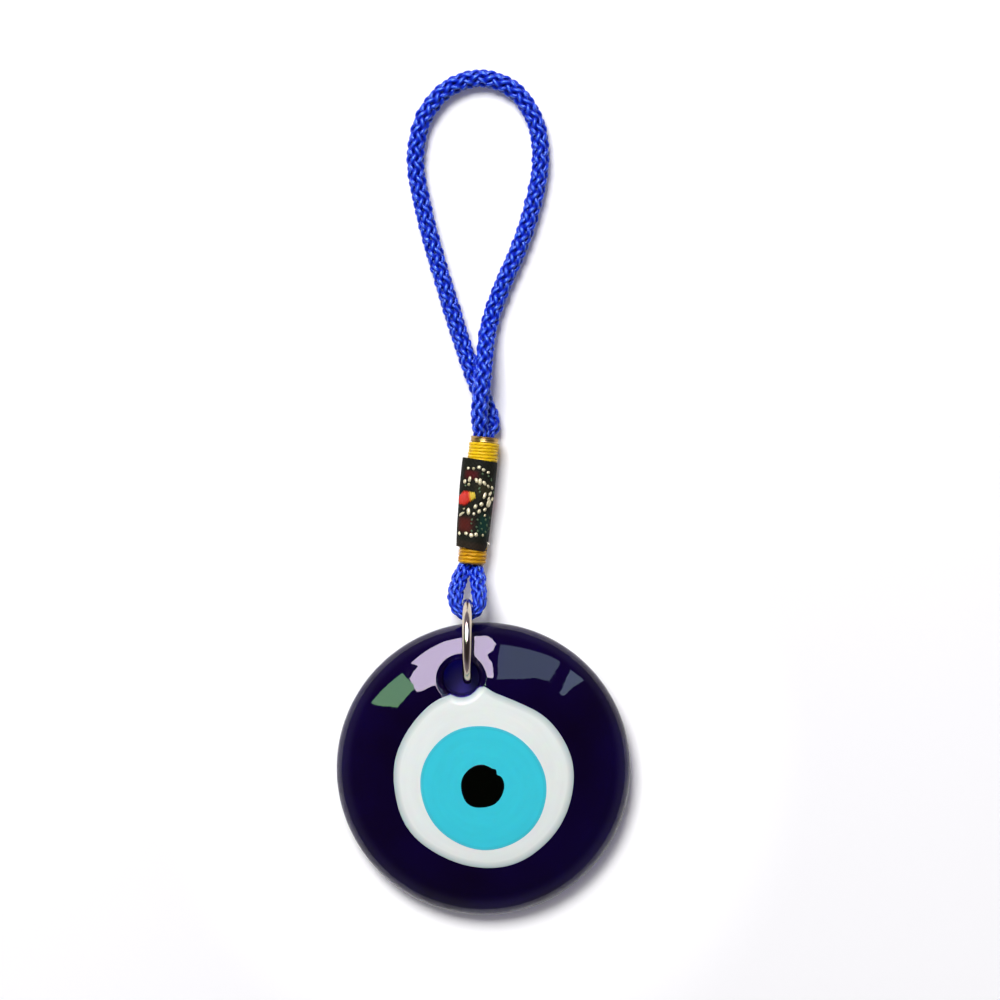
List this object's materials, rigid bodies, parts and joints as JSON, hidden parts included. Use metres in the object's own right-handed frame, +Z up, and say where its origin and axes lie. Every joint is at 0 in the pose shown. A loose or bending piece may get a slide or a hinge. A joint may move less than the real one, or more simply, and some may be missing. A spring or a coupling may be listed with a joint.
{
  "type": "evil eye ornament",
  "caption": "Round glass eye charm with a hole near its rim, hung by a jump ring from a braided cord loop bound in a ribbon sleeve.",
  "frame": {"origin": "on the table, under the middle of the glass disc", "axes": "+Z up, out of the eye's front; +Y from the disc towards the hand loop; +X to the right as seen from above"},
  "size_m": [0.035, 0.101, 0.0102],
  "materials": {
    "blue_glass": "gloss",
    "white_glass": "gloss",
    "light_blue_glass": "gloss",
    "black_glass": "gloss",
    "ring_metal": "polished",
    "cord_braid": "satin",
    "clear_tube": "gloss",
    "yellow_thread": "satin",
    "brocade": "woven"
  },
  "bodies": {
    "glass": {"glass_body": "blue_glass", "white_glass": "white_glass", "light_blue_glass": "light_blue_glass", "pupil_glass": "black_glass"},
    "ring": {"jump_ring": "ring_metal"},
    "strap": {"core_tube": "clear_tube", "lower_winding": "yellow_thread", "brocade_sleeve": "brocade", "upper_winding": "yellow_thread", "cord_bight": "cord_braid", "cord_neck": "cord_braid"},
    "hand_loop": {"cord_loop": "cord_braid"}
  },
  "joints": [
    {"name": "ring_swivel", "type": "hinge", "parent": "glass", "child": "ring", "pos_m": [-0.0026, 0.0111, 0.0035], "axis": [0, -0.0488, 0.9988], "range_deg": [-20, 20]},
    {"name": "strap_swing", "type": "hinge", "parent": "ring", "child": "strap", "pos_m": [-0.0019, 0.0152, 0.0051], "axis": [1, 0, 0], "range_deg": [0, 105]},
    {"name": "loop_sway", "type": "hinge", "parent": "strap", "child": "hand_loop", "pos_m": [0, 0.042, 0.0022], "axis": [0, 0, 1], "range_deg": [-35, 35]}
  ]
}
